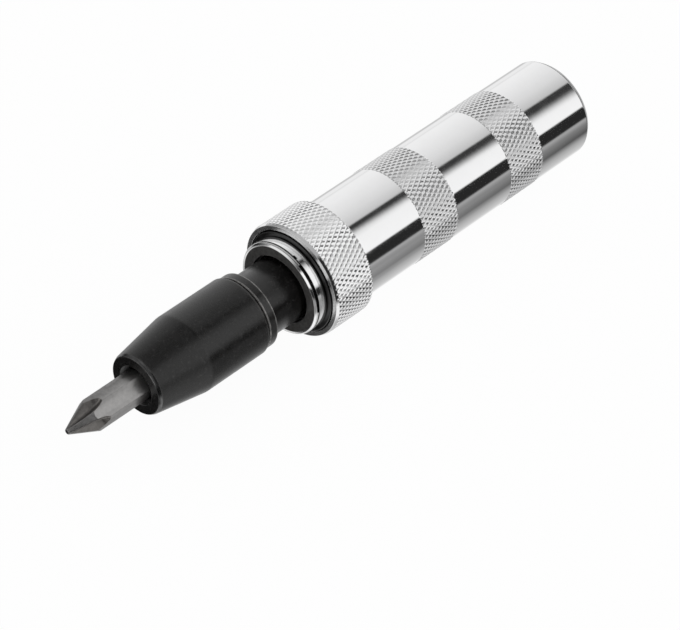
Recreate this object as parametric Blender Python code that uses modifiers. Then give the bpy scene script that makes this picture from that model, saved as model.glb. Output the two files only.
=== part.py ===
import bpy
import bmesh
import math
from mathutils import Matrix, Vector

for leftover in list(bpy.data.objects):
    bpy.data.objects.remove(leftover, do_unlink=True)

# The tool lies along X. X = 0 is the striking face, +X points to the bit and +Z is up.
# All lengths are in metres and all angles in radians.

CLEAR = 0.0003            # gap left wherever two pieces would touch
OVERRUN = 0.0010          # how far a cutter runs past what it cuts
WELD = 0.00001            # distance under which points are joined
STEPS_LARGE = 48
STEPS_SMALL = 24

# Standard sizes. All diameters of the driver follow from the square drive outward,
# and those of the bit and of the holder's front end from the bit's hexagon.
DRIVE_FLATS = 0.0127
HEX_FLATS = 0.0080

# Handle: a chromed steel barrel, closed at the striking end
NECK_STEP = 0.0011
GRIP_LENGTH = 0.09269
STRIKE_CHAMFER = 0.0010
GRIP_END_CHAMFER = 0.0003
FLOOR_THICK = 0.0200
KNURL_RAISE = 0.00012
KNURL_SLOPE = 0.0002
REAR_BAND_START = 0.0210
REAR_BAND_WIDTH = 0.0133
BAND_SPACING = 0.0223
FRONT_BAND_WIDTH = 0.0134

# Neck of the handle, under the collar
NECK_LENGTH = 0.01361
NECK_WALL = 0.0022
O_RING_SETBACK = 0.00171
O_RING_WIRE_R = 0.00048

# Selector collar and the ring that holds it on the neck
COLLAR_WALL = 0.0030
COLLAR_LIP = 0.00084
COLLAR_CHAMFER_LENGTH = 0.00089
COLLAR_CHAMFER_DROP = 0.0004
COLLAR_REAR_CHAMFER = 0.0003
STOP_STEP = 0.0013
STOP_THICK = 0.0010
STOP_EDGE = 0.0003

# Keys that join the collar to the sleeve
KEY_R = 0.0017
KEY_SETBACK = 0.00581
KEY_SINK = 0.0011
KEY_EDGE = 0.0002

# Nose bush: guides the spindle and closes the barrel
NOSE_LENGTH = 0.00415
NOSE_CHAMFER_LENGTH = 0.00055
NOSE_CHAMFER_DROP = 0.0005
NOSE_LAND_WIDTH = 0.00034
NOSE_LAND_DEPTH = 0.00025
NOSE_MOUTH_GAP = 0.0007
NOSE_PLUG_LENGTH = 0.0056
WIRE_GROOVE_WIDTH = 0.00105
WIRE_GROOVE_DEPTH = 0.00075
WIRE_R = 0.00025
WIRE_RISE = 0.00005
WIRE_GAP_ANGLE = math.radians(29.0)
WIRE_GAP_REACH = math.radians(31.0)
SEAL_SETBACK = 0.0005
SEAL_GROOVE_WIDTH = 0.0018
SEAL_GROOVE_DEPTH = 0.0011

# Spindle
SHAFT_SHOULDER = 0.00105
SHAFT_SHOWN = 0.01151
SPINDLE_TAIL = 0.0189
TAIL_CHAMFER = 0.0007
TAIL_NECK_LENGTH = 0.0023
NUB_R = 0.0037
NUB_LENGTH = 0.0013
FLANGE_THICK = 0.00294
FLANGE_STEP = 0.0017
FLANGE_EDGE = 0.0003
FLANGE_GROOVE_GAP = 0.00045
FLANGE_GROOVE_WIDTH = 0.0009
FLANGE_GROOVE_DEPTH = 0.0006
DRIVE_CORNER_CUT = 0.00053
DRIVE_LENGTH = 0.0150
DRIVE_NOSE_LENGTH = 0.0034
DRIVE_NOSE_DROP = 0.00015
DRIVE_ROLL = math.radians(56.0)

# Detent ball in the middle of one flat of the square
BALL_R = 0.00275
BALL_SETBACK = 0.0077
BALL_SINK = 0.0016
BALL_HOLE_WALL = 0.00185
BALL_RING_WIDTH = 0.0009
BALL_RING_BORE_R = 0.0026
BALL_RING_THICK = 0.00035
BALL_SPRING_WIRE_R = 0.0003
BALL_SPRING_R = 0.0015
BALL_SPRING_TURNS = 4

# Cam: a cross pin in the spindle runs in two V-shaped slots of the sleeve
STROKE = 0.0080
CAM_TURN = math.radians(32.0)
SELECT_TURN = math.radians(6.0)
PIN_R = 0.0020
PIN_SETBACK = 0.0300
PIN_EDGE = 0.0002
SLEEVE_WALL = 0.0016
SLEEVE_TAIL_GAP = 0.0029
CAM_STEPS = 10
KEY_SLOT_STEPS = 3

# Spring pack
BORE_STEP = 0.0007
REAR_WASHER_THICK = 0.0010
REAR_WASHER_BORE_R = 0.0050
THRUST_WASHER_THICK = 0.0015
SEAT_THICK = 0.0024
SEAT_PILOT_ROOM = 0.0005
SEAT_PILOT_LENGTH = 0.0054
SEAT_PILOT_TAPER_LENGTH = 0.0027
SEAT_PILOT_DROP = 0.0016
SPRING_WIRE_R = 0.0013
SPRING_ROOM = 0.0008
SPRING_TURNS = 7

# Bit holder, pushed on the square drive
HOLDER_WALL = 0.002295
HOLDER_EDGE = 0.0006
HOLDER_BODY_LENGTH = 0.0214
HOLDER_TAPER_LENGTH = 0.01589
HOLDER_RIM_STEP = 0.00045
HOLDER_NOSE_LENGTH = 0.00091
HOLDER_FACE_WIDTH = 0.00275
HOLDER_MOUTH_FLARE = 0.000935
HOLDER_CORE_STEP = 0.0010
SOCKET_ROOM = 0.0008
HEX_DEPTH = 0.0124
BALL_CHANNEL_RUN = 0.0030
CLIP_SETBACK = 0.0060
CLIP_GROOVE_WIDTH = 0.0016
CLIP_WIDTH = 0.0009
CLIP_GAP = 0.0030

# Bit
BIT_LENGTH = 0.0364
BIT_TIP_R = 0.00075
BIT_CONE_LENGTH = 0.0086
BIT_CORNER_CUT = 0.00004
BIT_END_CHAMFER = 0.0006
BIT_END_DROP = 0.00038
HEX_ROLL = math.radians(42.0)
WING_ROLL = HEX_ROLL
FLUTE_HALF_ANGLE = math.radians(50.0)
FLUTE_LENGTH = 0.0121
FLUTE_OVERRUN = 0.0029
FLUTE_TIP_RISE = 0.00015
FLUTE_END_RISE = 0.00022
FLUTE_SHARES = ((-0.05, -0.02), (0.36, 0.15), (0.61, 0.33), (0.78, 0.54), (0.90, 0.76), (1, 1))

# Places along X that follow from the sizes above
neck_end = GRIP_LENGTH + NECK_LENGTH
collar_start = GRIP_LENGTH + CLEAR
collar_face = neck_end + COLLAR_LIP
stop_start = neck_end + CLEAR
stop_end = stop_start + STOP_THICK
nose_start = stop_end + CLEAR
nose_face = nose_start + NOSE_LENGTH
plug_start = nose_start - NOSE_PLUG_LENGTH
sleeve_end = plug_start - CLEAR
key_x = GRIP_LENGTH + KEY_SETBACK
pin_x = sleeve_end - PIN_SETBACK
tail_start = pin_x - SPINDLE_TAIL
sleeve_start = tail_start + SLEEVE_TAIL_GAP
thrust_end = tail_start - CLEAR
thrust_start = thrust_end - THRUST_WASHER_THICK
seat_end = thrust_start - CLEAR
seat_start = seat_end - SEAT_THICK
rear_washer_start = FLOOR_THICK + CLEAR
rear_washer_end = rear_washer_start + REAR_WASHER_THICK
flange_start = nose_face + SHAFT_SHOWN
flange_end = flange_start + FLANGE_THICK
drive_end = flange_end + DRIVE_LENGTH
ball_x = flange_end + BALL_SETBACK
holder_start = flange_end + CLEAR
holder_taper = holder_start + HOLDER_BODY_LENGTH
holder_rim = holder_taper + HOLDER_TAPER_LENGTH
holder_face = holder_rim + HOLDER_NOSE_LENGTH
hex_floor = holder_face - HEX_DEPTH
bit_start = hex_floor + CLEAR
bit_tip = bit_start + BIT_LENGTH

# Radii that follow from them, from the square drive outward
half_flats = DRIVE_FLATS / 2
drive_corner_r = half_flats * math.sqrt(2) - DRIVE_CORNER_CUT
drive_nose_r = half_flats - DRIVE_NOSE_DROP
shaft_r = drive_corner_r + SHAFT_SHOULDER
flange_r = shaft_r + FLANGE_STEP
shaft_bore_r = shaft_r + CLEAR
sleeve_r = shaft_bore_r + SLEEVE_WALL
bore_r = sleeve_r + CLEAR
neck_r = bore_r + NECK_WALL
handle_r = neck_r + NECK_STEP
collar_bore_r = neck_r + CLEAR
collar_r = collar_bore_r + COLLAR_WALL
stop_r = neck_r + STOP_STEP
nose_face_r = neck_r - NOSE_CHAMFER_DROP
nose_mouth_r = shaft_r + NOSE_MOUTH_GAP
spring_bore_r = bore_r - BORE_STEP
spring_piece_r = spring_bore_r - CLEAR
spring_r = spring_piece_r - SPRING_ROOM - SPRING_WIRE_R
seat_pilot_r = spring_r - SPRING_WIRE_R - SEAT_PILOT_ROOM
seat_pilot_tip_r = seat_pilot_r - SEAT_PILOT_DROP
holder_r = (half_flats + CLEAR) * math.sqrt(2) + HOLDER_WALL
ball_hole_depth = DRIVE_FLATS - BALL_HOLE_WALL

# Radii that follow from the bit's hexagon
hex_corner_r = HEX_FLATS / 2 / math.cos(math.pi / 6)
hex_socket_r = (HEX_FLATS / 2 + CLEAR) / math.cos(math.pi / 6)
holder_mouth_r = hex_socket_r + HOLDER_MOUTH_FLARE
holder_face_r = holder_mouth_r + HOLDER_FACE_WIDTH
holder_rim_r = holder_face_r + HOLDER_RIM_STEP
holder_core_r = HEX_FLATS / 2 - HOLDER_CORE_STEP
bit_corner_r = hex_corner_r - BIT_CORNER_CUT
flute_top_r = bit_corner_r + FLUTE_OVERRUN
flute_end_r = bit_corner_r + FLUTE_END_RISE
flute_tip_r = BIT_TIP_R + FLUTE_TIP_RISE

# Angles and holes of the keys and the pin
key_hole_r = KEY_R + CLEAR
pin_hole_r = PIN_R + CLEAR
half_facet = math.pi / STEPS_LARGE
key_angles = (half_facet, math.pi + half_facet)
pin_angles = (math.pi / 2 + half_facet, 3 * math.pi / 2 + half_facet)

parts = bpy.data.collections.new("hand_impact_driver")
cutters = bpy.data.collections.new("cutters")
bpy.context.scene.collection.children.link(parts)
bpy.context.scene.collection.children.link(cutters)
along_x = Matrix.Rotation(math.pi / 2, 4, "Y")


def material(name, colour, metallic, roughness):
    made = bpy.data.materials.new(name)
    made.use_nodes = True
    shader = made.node_tree.nodes["Principled BSDF"]
    shader.inputs["Base Color"].default_value = (*colour, 1.0)
    shader.inputs["Metallic"].default_value = metallic
    shader.inputs["Roughness"].default_value = roughness
    return made


chrome = material("chrome_plated_steel", (0.75, 0.75, 0.77), 1.0, 0.08)
bare = material("turned_steel", (0.22, 0.21, 0.20), 1.0, 0.35)
black = material("black_oxide_steel", (0.03, 0.03, 0.032), 0.6, 0.38)
satin = material("satin_tool_steel", (0.30, 0.30, 0.31), 0.8, 0.45)
spring_steel = material("spring_steel", (0.20, 0.21, 0.23), 1.0, 0.3)
polished = material("polished_steel", (0.70, 0.70, 0.70), 1.0, 0.06)
rubber = material("nitrile_rubber", (0.02, 0.02, 0.02), 0.0, 0.55)


def add(name, mesh, finish):
    """Put a mesh among the parts, or among the cutters if it has no finish."""
    made = bpy.data.objects.new(name, mesh)
    if finish:
        parts.objects.link(made)
        mesh.materials.append(finish)
    else:
        cutters.objects.link(made)
        made.hide_render = True
        made.display_type = "WIRE"
    return made


def soften(made):
    mesh = made.data
    mesh.polygons.foreach_set("use_smooth", [True] * len(mesh.polygons))
    mesh.set_sharp_from_angle(angle=math.radians(30.0))


def turned(name, profile, steps, finish, place=along_x):
    """Revolve (x, r) points about the local Z axis. The points run down the outer side."""
    mesh = bpy.data.meshes.new(name)
    points = [(r, 0, x) for x, r in profile]
    edges = [(i, i + 1) for i in range(len(points) - 1)]
    if profile[0][1] or profile[-1][1]:
        edges.append((len(points) - 1, 0))
    mesh.from_pydata(points, edges, [])
    made = add(name, mesh, finish)
    made.matrix_world = place
    screw = made.modifiers.new("turn", "SCREW")
    screw.axis = "Z"
    screw.angle = math.tau
    screw.steps = steps
    screw.render_steps = steps
    screw.use_merge_vertices = True
    screw.merge_threshold = WELD
    screw.use_smooth_shade = True
    return made


def tube(start, end, outer_r, inner_r):
    return [(end, inner_r), (end, outer_r), (start, outer_r), (start, inner_r)]


def round_wire(middle, mean_r, wire_r, sides=8):
    """The section of a ring of round wire."""
    return [
        (middle + wire_r * math.cos(math.tau * i / sides),
         mean_r + wire_r * math.sin(math.tau * i / sides))
        for i in range(sides)
    ]


def boxes(name, items):
    """Box cutters: (angle about X, near, far, half width, start, end)."""
    work = bmesh.new()
    for angle, near, far, half_width, start, end in items:
        place = Matrix.Rotation(angle, 4, "X")
        place @= Matrix.Translation(((start + end) / 2, (near + far) / 2, 0))
        place @= Matrix.Diagonal((end - start, far - near, 2 * half_width, 1))
        bmesh.ops.create_cube(work, size=1, matrix=place)
    mesh = bpy.data.meshes.new(name)
    work.to_mesh(mesh)
    work.free()
    return add(name, mesh, None)


def radial_rods(name, rods, finish=None, edge=0):
    """Round rods that point outward: (angle about X, x, radius, inner end, outer end)."""
    work = bmesh.new()
    for angle, x, rod_r, inner, outer in rods:
        place = Matrix.Rotation(angle, 4, "X")
        place @= Matrix.Translation((x, (inner + outer) / 2, 0))
        place @= Matrix.Rotation(-math.pi / 2, 4, "X")
        bmesh.ops.create_cone(work, cap_ends=True, segments=STEPS_SMALL, radius1=rod_r,
                              radius2=rod_r, depth=outer - inner, matrix=place)
    mesh = bpy.data.meshes.new(name)
    work.to_mesh(mesh)
    work.free()
    made = add(name, mesh, finish)
    soften(made)
    if edge:
        bevel = made.modifiers.new("edge", "BEVEL")
        bevel.width = edge
        bevel.segments = 1
        bevel.limit_method = "ANGLE"
    return made


def prism(name, sides, flats, roll, start, end):
    """A regular prism cutter along X with one flat facing the roll angle."""
    place = Matrix.Rotation(roll + math.pi / sides, 4, "X")
    place @= Matrix.Translation(((start + end) / 2, 0, 0))
    place @= along_x
    corner_r = flats / 2 / math.cos(math.pi / sides)
    work = bmesh.new()
    bmesh.ops.create_cone(work, cap_ends=True, segments=sides, radius1=corner_r,
                          radius2=corner_r, depth=end - start, matrix=place)
    mesh = bpy.data.meshes.new(name)
    work.to_mesh(mesh)
    work.free()
    return add(name, mesh, None)


def radial(angle, distance, x, across=0):
    """A point at an angle about X from +Y toward +Z, shifted across that direction."""
    return Vector((
        x,
        distance * math.cos(angle) - across * math.sin(angle),
        distance * math.sin(angle) + across * math.cos(angle),
    ))


def loft(name, rows):
    """A cutter through rows of sections. All sections of a row have as many points."""
    work = bmesh.new()
    for sections in rows:
        rings = [[work.verts.new(point) for point in section] for section in sections]
        for ring, following in zip(rings, rings[1:]):
            for i in range(len(ring)):
                j = (i + 1) % len(ring)
                work.faces.new((ring[i], ring[j], following[j], following[i]))
        work.faces.new(rings[0])
        work.faces.new(reversed(rings[-1]))
    bmesh.ops.recalc_face_normals(work, faces=work.faces)
    mesh = bpy.data.meshes.new(name)
    work.to_mesh(mesh)
    work.free()
    return add(name, mesh, None)


def wrapped_section(angle, low, high, inner_r, outer_r):
    """One section of a slot that is bent round the axis."""
    return [radial(angle, inner_r, low), radial(angle, inner_r, high),
            radial(angle, outer_r, high), radial(angle, outer_r, low)]


def boolean(made, operation, cutter):
    step = made.modifiers.new(cutter.name, "BOOLEAN")
    step.operation = operation
    step.solver = "EXACT"
    step.object = cutter


def coil(name, turns, wire_r, coil_r, start, end, place, finish):
    """A spring of one unbroken wire along local Z, put in its place by a matrix."""
    per_turn = 10
    count = turns * per_turn + 1
    curve = bpy.data.curves.new(name, "CURVE")
    curve.dimensions = "3D"
    curve.bevel_depth = wire_r
    curve.bevel_resolution = 1
    curve.use_fill_caps = True
    spline = curve.splines.new("POLY")
    spline.points.add(count - 1)
    for i in range(count):
        turn = math.tau * i / per_turn
        height = start + wire_r + (end - start - 2 * wire_r) * i / (count - 1)
        spline.points[i].co = (coil_r * math.cos(turn), coil_r * math.sin(turn), height, 1)
    raw = bpy.data.objects.new(name + "_wire", curve)
    bpy.context.scene.collection.objects.link(raw)
    bpy.context.view_layer.update()
    seen = raw.evaluated_get(bpy.context.evaluated_depsgraph_get())
    mesh = bpy.data.meshes.new_from_object(seen)
    mesh.name = name
    work = bmesh.new()
    work.from_mesh(mesh)
    bmesh.ops.remove_doubles(work, verts=work.verts, dist=WELD)
    bmesh.ops.recalc_face_normals(work, faces=work.faces)
    work.to_mesh(mesh)
    work.free()
    bpy.data.objects.remove(raw, do_unlink=True)
    mesh.materials.clear()
    made = add(name, mesh, finish)
    made.matrix_world = place
    soften(made)
    return made


def band(start, width):
    """A raised band on the handle, from its front edge to its rear edge."""
    raised_r = handle_r + KNURL_RAISE
    return [
        (start + width + KNURL_SLOPE, handle_r), (start + width, raised_r),
        (start, raised_r), (start - KNURL_SLOPE, handle_r),
    ]


# Handle, with a groove in its neck for an O-ring
o_ring_x = GRIP_LENGTH + O_RING_SETBACK + CLEAR + O_RING_WIRE_R
o_ring_mean_r = neck_r - O_RING_WIRE_R
o_groove = (o_ring_x - O_RING_WIRE_R - CLEAR, o_ring_x + O_RING_WIRE_R + CLEAR)
o_groove_r = o_ring_mean_r - O_RING_WIRE_R - CLEAR
handle = turned("handle", [
    (FLOOR_THICK, 0), (FLOOR_THICK, spring_bore_r), (sleeve_start - CLEAR, spring_bore_r),
    (sleeve_start - CLEAR, bore_r), (neck_end, bore_r), (neck_end, neck_r),
    (o_groove[1], neck_r), (o_groove[1], o_groove_r), (o_groove[0], o_groove_r),
    (o_groove[0], neck_r), (GRIP_LENGTH, neck_r), (GRIP_LENGTH, handle_r - GRIP_END_CHAMFER),
    (GRIP_LENGTH - GRIP_END_CHAMFER, handle_r),
    *band(REAR_BAND_START + REAR_BAND_WIDTH + BAND_SPACING, FRONT_BAND_WIDTH),
    *band(REAR_BAND_START, REAR_BAND_WIDTH),
    (STRIKE_CHAMFER, handle_r), (0, handle_r - STRIKE_CHAMFER), (0, 0),
], STEPS_LARGE, chrome)

# The keys that join collar and sleeve pass through two short slots in the neck.
key_reach = SELECT_TURN + math.asin(key_hole_r / bore_r)
slot_offsets = [
    key_reach * i / KEY_SLOT_STEPS for i in range(-KEY_SLOT_STEPS, KEY_SLOT_STEPS + 1)
]
neck_slots = loft("neck_slots", [
    [
        wrapped_section(middle + offset, key_x - key_hole_r, key_x + key_hole_r,
                        bore_r - OVERRUN, neck_r + OVERRUN)
        for offset in slot_offsets
    ]
    for middle in key_angles
])
boolean(handle, "DIFFERENCE", neck_slots)

turned("collar_o_ring", round_wire(o_ring_x, o_ring_mean_r, O_RING_WIRE_R), STEPS_LARGE, rubber)

# Collar with two blind pockets for the keys
key_end = collar_bore_r + KEY_SINK
collar = turned("selector_collar", [
    (collar_face, stop_r + CLEAR), (collar_face, collar_r - COLLAR_CHAMFER_DROP),
    (collar_face - COLLAR_CHAMFER_LENGTH, collar_r),
    (collar_start + COLLAR_REAR_CHAMFER, collar_r),
    (collar_start, collar_r - COLLAR_REAR_CHAMFER), (collar_start, collar_bore_r),
    (neck_end, collar_bore_r), (neck_end, stop_r + CLEAR),
], STEPS_LARGE, chrome)
collar_pockets = radial_rods("collar_pockets", [
    (angle, key_x, key_hole_r, collar_bore_r - OVERRUN, key_end + CLEAR) for angle in key_angles
])
boolean(collar, "DIFFERENCE", collar_pockets)
for number, angle in enumerate(key_angles, 1):
    key = (angle, key_x, KEY_R, shaft_bore_r + CLEAR, key_end)
    radial_rods("selector_key_%d" % number, [key], bare, KEY_EDGE)

# Ring clamped between neck and nose bush, which keeps the collar on
turned("collar_stop_ring", [
    (stop_end, bore_r), (stop_end, stop_r - STOP_EDGE), (stop_end - STOP_EDGE, stop_r),
    (stop_start + STOP_EDGE, stop_r), (stop_start, stop_r - STOP_EDGE), (stop_start, bore_r),
], STEPS_LARGE, bare)

# Nose bush with the seal inside it and a wire ring in the groove round it
wire_groove_end = nose_face - NOSE_CHAMFER_LENGTH
wire_groove_start = wire_groove_end - WIRE_GROOVE_WIDTH
seal_groove = (nose_start + SEAL_SETBACK, nose_start + SEAL_SETBACK + SEAL_GROOVE_WIDTH)
seal_groove_r = shaft_bore_r + SEAL_GROOVE_DEPTH
turned("nose_bush", [
    (nose_face - NOSE_LAND_DEPTH, nose_mouth_r),
    (nose_face - NOSE_LAND_DEPTH, nose_face_r - NOSE_LAND_WIDTH),
    (nose_face, nose_face_r), (wire_groove_end, neck_r),
    (wire_groove_end, neck_r - WIRE_GROOVE_DEPTH), (wire_groove_start, neck_r - WIRE_GROOVE_DEPTH),
    (wire_groove_start, neck_r), (nose_start, neck_r), (nose_start, sleeve_r),
    (plug_start, sleeve_r), (plug_start, shaft_bore_r), (seal_groove[0], shaft_bore_r),
    (seal_groove[0], seal_groove_r), (seal_groove[1], seal_groove_r),
    (seal_groove[1], nose_mouth_r),
], STEPS_LARGE, chrome)
seal = tube(seal_groove[0] + CLEAR, seal_groove[1] - CLEAR, seal_groove_r - CLEAR, shaft_bore_r)
turned("spindle_seal", seal, STEPS_LARGE, rubber)
wire_x = (wire_groove_start + wire_groove_end) / 2
wire_mean_r = neck_r + WIRE_RISE - WIRE_R
wire_ring = turned("nose_wire_ring", round_wire(wire_x, wire_mean_r, WIRE_R), STEPS_LARGE, polished)
wire_gap = boxes("wire_gap", [(
    WIRE_GAP_ANGLE, shaft_r, neck_r + OVERRUN, wire_mean_r * math.sin(WIRE_GAP_REACH),
    wire_groove_start - OVERRUN, wire_groove_end + OVERRUN,
)])
boolean(wire_ring, "DIFFERENCE", wire_gap)

# Cam sleeve. At each angle from its middle a slot spans what the pin sweeps as it goes
# back along either leg of the V, with the selector turned fully either way.
sleeve = turned("cam_sleeve", tube(sleeve_start, sleeve_end, sleeve_r, shaft_bore_r),
                STEPS_LARGE, bare)
flat_top = SELECT_TURN + math.asin(pin_hole_r / shaft_bore_r)
slot_reach = CAM_TURN + flat_top
slot_wedge = CAM_TURN - flat_top


def cam_section(middle, offset):
    away = abs(offset)
    high = pin_x + pin_hole_r - STROKE * max(0, away - flat_top) / CAM_TURN
    low = pin_x - pin_hole_r - STROKE * min(1, (away + flat_top) / CAM_TURN)
    return wrapped_section(middle + offset, low, high, shaft_bore_r - OVERRUN, sleeve_r + OVERRUN)


even_offsets = {slot_reach * i / CAM_STEPS for i in range(CAM_STEPS + 1)}
half_offsets = sorted(even_offsets | {flat_top, slot_wedge})
cam_offsets = [-offset for offset in reversed(half_offsets[1:])] + half_offsets
cam_slots = loft("cam_slots", [
    [cam_section(middle, offset) for offset in cam_offsets] for middle in pin_angles
])
boolean(sleeve, "DIFFERENCE", cam_slots)
sleeve_key_holes = radial_rods("sleeve_key_holes", [
    (angle, key_x, key_hole_r, shaft_bore_r - OVERRUN, sleeve_r + OVERRUN) for angle in key_angles
])
boolean(sleeve, "DIFFERENCE", sleeve_key_holes)

# Spring pack behind the spindle
turned("rear_washer", tube(rear_washer_start, rear_washer_end, spring_piece_r, REAR_WASHER_BORE_R),
       STEPS_SMALL, bare)
turned("spring_seat", [
    (seat_end, 0), (seat_end, spring_piece_r), (seat_start, spring_piece_r),
    (seat_start, seat_pilot_r),
    (seat_start - SEAT_PILOT_LENGTH + SEAT_PILOT_TAPER_LENGTH, seat_pilot_r),
    (seat_start - SEAT_PILOT_LENGTH, seat_pilot_tip_r), (seat_start - SEAT_PILOT_LENGTH, 0),
], STEPS_LARGE, bare)
turned("thrust_washer", tube(thrust_start, thrust_end, spring_piece_r, NUB_R + CLEAR),
       STEPS_LARGE, bare)
coil("main_spring", SPRING_TURNS, SPRING_WIRE_R, spring_r, rear_washer_end + CLEAR,
     seat_start - CLEAR, along_x, spring_steel)

# Spindle: nub, tail, shaft, flange and the square drive
groove_r = drive_corner_r + FLANGE_GROOVE_GAP
groove_floor = flange_end - FLANGE_GROOVE_DEPTH
spindle = turned("spindle", [
    (drive_end, 0), (drive_end, drive_nose_r), (drive_end - DRIVE_NOSE_LENGTH, drive_corner_r),
    (flange_end, drive_corner_r), (flange_end, groove_r), (groove_floor, groove_r),
    (groove_floor, groove_r + FLANGE_GROOVE_WIDTH), (flange_end, groove_r + FLANGE_GROOVE_WIDTH),
    (flange_end, flange_r - FLANGE_EDGE), (flange_end - FLANGE_EDGE, flange_r),
    (flange_start + FLANGE_EDGE, flange_r), (flange_start, flange_r - FLANGE_EDGE),
    (flange_start, shaft_r), (tail_start + TAIL_NECK_LENGTH + TAIL_CHAMFER, shaft_r),
    (tail_start + TAIL_NECK_LENGTH, shaft_r - TAIL_CHAMFER), (tail_start, shaft_r - TAIL_CHAMFER),
    (tail_start, NUB_R), (tail_start - NUB_LENGTH, NUB_R), (tail_start - NUB_LENGTH, 0),
], STEPS_LARGE, black)
drive_flats = boxes("drive_flats", [
    (DRIVE_ROLL + k * math.pi / 2, half_flats, drive_corner_r + OVERRUN, half_flats - CLEAR,
     flange_end + CLEAR / 2, drive_end + OVERRUN)
    for k in range(4)
])
spindle_cutters = [
    drive_flats,
    radial_rods("ball_hole", [
        (DRIVE_ROLL, ball_x, BALL_R + CLEAR, half_flats - ball_hole_depth, half_flats + OVERRUN),
    ]),
    radial_rods("ball_ring_seat", [
        (DRIVE_ROLL, ball_x, BALL_RING_BORE_R + BALL_RING_WIDTH + CLEAR,
         half_flats - BALL_RING_THICK - CLEAR, half_flats + OVERRUN),
    ]),
    radial_rods("pin_hole", [
        (pin_angles[0], pin_x, pin_hole_r, -shaft_r - OVERRUN, shaft_r + OVERRUN),
    ]),
]
for cutter in spindle_cutters:
    boolean(spindle, "DIFFERENCE", cutter)
pin_reach = sleeve_r - CLEAR
radial_rods("cam_pin", [(pin_angles[0], pin_x, PIN_R, -pin_reach, pin_reach)], polished, PIN_EDGE)

# Detent ball, the ring staked round it and the spring below it
outward = Matrix.Translation((ball_x, 0, 0)) @ Matrix.Rotation(DRIVE_ROLL - math.pi / 2, 4, "X")
ball_height = half_flats - BALL_SINK
ball_mesh = bpy.data.meshes.new("detent_ball")
ball_work = bmesh.new()
bmesh.ops.create_uvsphere(ball_work, u_segments=24, v_segments=14, radius=BALL_R)
ball_work.to_mesh(ball_mesh)
ball_work.free()
ball = add("detent_ball", ball_mesh, polished)
ball.matrix_world = outward @ Matrix.Translation((0, 0, ball_height))
soften(ball)
turned("detent_ring", tube(half_flats - BALL_RING_THICK, half_flats,
                           BALL_RING_BORE_R + BALL_RING_WIDTH, BALL_RING_BORE_R),
       STEPS_SMALL, bare, outward)
coil("detent_spring", BALL_SPRING_TURNS, BALL_SPRING_WIRE_R, BALL_SPRING_R,
     half_flats - ball_hole_depth + CLEAR, ball_height - BALL_R - CLEAR, outward, spring_steel)

# Bit holder: square socket behind, hexagon in front
clip_groove_end = holder_face - CLIP_SETBACK
clip_groove_start = clip_groove_end - CLIP_GROOVE_WIDTH
clip_bore_r = hex_corner_r + CLEAR
clip_r = clip_bore_r + CLIP_WIDTH
holder = turned("bit_holder", [
    (holder_face, holder_mouth_r), (holder_face, holder_face_r), (holder_rim, holder_rim_r),
    (holder_taper, holder_r), (holder_start + HOLDER_EDGE, holder_r),
    (holder_start, holder_r - HOLDER_EDGE), (holder_start, holder_core_r),
    (clip_groove_start, holder_core_r), (clip_groove_start, clip_r + CLEAR),
    (clip_groove_end, clip_r + CLEAR), (clip_groove_end, holder_core_r),
    (holder_face - holder_mouth_r + holder_core_r, holder_core_r),
], STEPS_LARGE, black)
holder_cutters = [
    prism("drive_socket", 4, DRIVE_FLATS + 2 * CLEAR, DRIVE_ROLL, holder_start - OVERRUN,
          drive_end + SOCKET_ROOM),
    boxes("ball_channel", [
        (DRIVE_ROLL, 0, ball_height + BALL_R + CLEAR, BALL_R, holder_start - OVERRUN,
         ball_x + BALL_CHANNEL_RUN),
    ]),
    prism("hex_socket", 6, HEX_FLATS + 2 * CLEAR, HEX_ROLL, hex_floor, holder_face + OVERRUN),
]
for cutter in holder_cutters:
    boolean(holder, "DIFFERENCE", cutter)
clip = turned("bit_clip", tube(clip_groove_start + CLEAR, clip_groove_end - CLEAR, clip_r, clip_bore_r),
              STEPS_SMALL, spring_steel)
clip_gap = boxes("clip_gap", [
    (-math.pi / 2, 0, clip_r + OVERRUN, CLIP_GAP / 2, clip_groove_start, clip_groove_end),
])
boolean(clip, "DIFFERENCE", clip_gap)

# Bit: hexagonal shank and a cross-shaped tip with four flutes
bit = turned("bit", [
    (bit_tip, 0), (bit_tip, BIT_TIP_R), (bit_tip - BIT_CONE_LENGTH, bit_corner_r),
    (bit_start + BIT_END_CHAMFER, bit_corner_r), (bit_start, bit_corner_r - BIT_END_DROP),
    (bit_start, 0),
], STEPS_LARGE, satin)
boolean(bit, "INTERSECT", prism("bit_hexagon", 6, HEX_FLATS, HEX_ROLL, bit_start - OVERRUN,
                                bit_tip + OVERRUN))


def flute_section(angle, length_share, rise_share):
    """A V across the bit, with its root low at the tip and rising to the shank's surface."""
    x = bit_tip - FLUTE_LENGTH * length_share
    root = flute_tip_r + (flute_end_r - flute_tip_r) * rise_share
    side = (flute_top_r - root) * math.tan(FLUTE_HALF_ANGLE)
    return [radial(angle, root, x), radial(angle, flute_top_r, x, side),
            radial(angle, flute_top_r, x, -side)]


for k in range(4):
    flute_angle = WING_ROLL + math.pi / 4 + k * math.pi / 2
    flute = loft("bit_flute_%d" % (k + 1), [
        [flute_section(flute_angle, *shares) for shares in FLUTE_SHARES],
    ])
    boolean(bit, "DIFFERENCE", flute)
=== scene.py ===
import math

import bmesh
import bpy
import numpy as np
from mathutils import Matrix, Vector


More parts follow.
